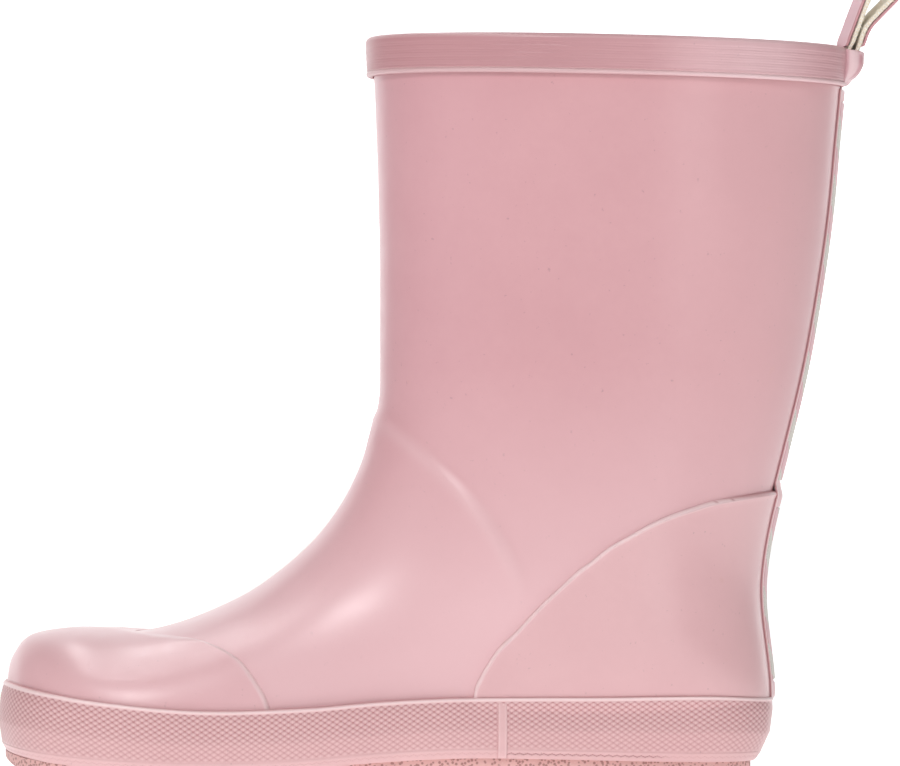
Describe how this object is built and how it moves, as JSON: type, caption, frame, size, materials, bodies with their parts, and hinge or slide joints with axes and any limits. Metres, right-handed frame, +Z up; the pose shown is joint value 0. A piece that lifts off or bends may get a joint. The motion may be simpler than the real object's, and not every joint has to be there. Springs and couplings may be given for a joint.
{
  "type": "child's pull-on rubber boot",
  "caption": "Child's ankle-high-to-mid-calf pull-on rubber rain boot with a rolled top binding, toe cap, heel counter, back strip, textured sidewall tape and a woven pull loop.",
  "frame": {"origin": "on the ground under the middle of the whole part's box, the raised toe and the pull loop included", "axes": "+Z up; the toe points to -X and the heel and pull loop to +X; the inner (medial) side of this right boot faces -Y"},
  "size_m": [0.2352, 0.079, 0.2164],
  "materials": {
    "upper_rubber": "satin gloss, smooth calendered rubber",
    "overlay_rubber": "satin gloss, smooth",
    "band_rubber": "satin, fine lines along it",
    "foxing_rubber": "matt, small diamond texture with a smooth lip",
    "outsole_rubber": "matt, speckled",
    "reflective_tape": "pale retro-reflective tape with slanted pink bars",
    "loop_facing_rubber": "satin, finely grained",
    "loop_webbing": "woven cotton webbing",
    "lining_knit": "brushed cotton knit",
    "insole_knit": "brushed knit",
    "insole_foam": "soft open foam",
    "fibre_board": "pressed fibre",
    "stiffener": "impregnated cloth",
    "sponge_filler": "sponge rubber"
  },
  "bodies": {
    "boot": {"leg_upper": "upper_rubber", "toe_cap": "overlay_rubber", "heel_counter": "overlay_rubber", "back_strip": "overlay_rubber", "top_band": "band_rubber", "loop_patch": "band_rubber", "foxing_tape": "foxing_rubber", "foxing_joint_strip": "foxing_rubber", "outsole": "outsole_rubber", "reflective_tape_upper": "reflective_tape", "reflective_tape_lower": "reflective_tape", "loop_tails": "loop_webbing", "leg_lining": "lining_knit", "insole_board": "fibre_board", "toe_puff": "stiffener", "vamp_reinforcement": "stiffener", "heel_stiffener": "stiffener", "midsole_filler": "sponge_filler", "heel_wedge": "sponge_filler"},
    "pull_loop": {"loop_webbing": "loop_webbing", "loop_facing": "loop_facing_rubber"},
    "insole": {"insole_foam": "insole_foam", "insole_cover": "insole_knit"}
  },
  "joints": [
    {"name": "pull_loop_bend", "type": "hinge", "parent": "boot", "child": "pull_loop", "pos_m": [0.0975, 0.0006, 0.188], "axis": [0, 1, 0], "range_deg": [-90, 45], "stiffness_Nm_per_rad": 0.004},
    {"name": "insole_lift", "type": "hinge", "parent": "boot", "child": "insole", "pos_m": [-0.1084, 0, 0.015], "axis": [0, -1, 0], "range_deg": [0, 10]}
  ]
}
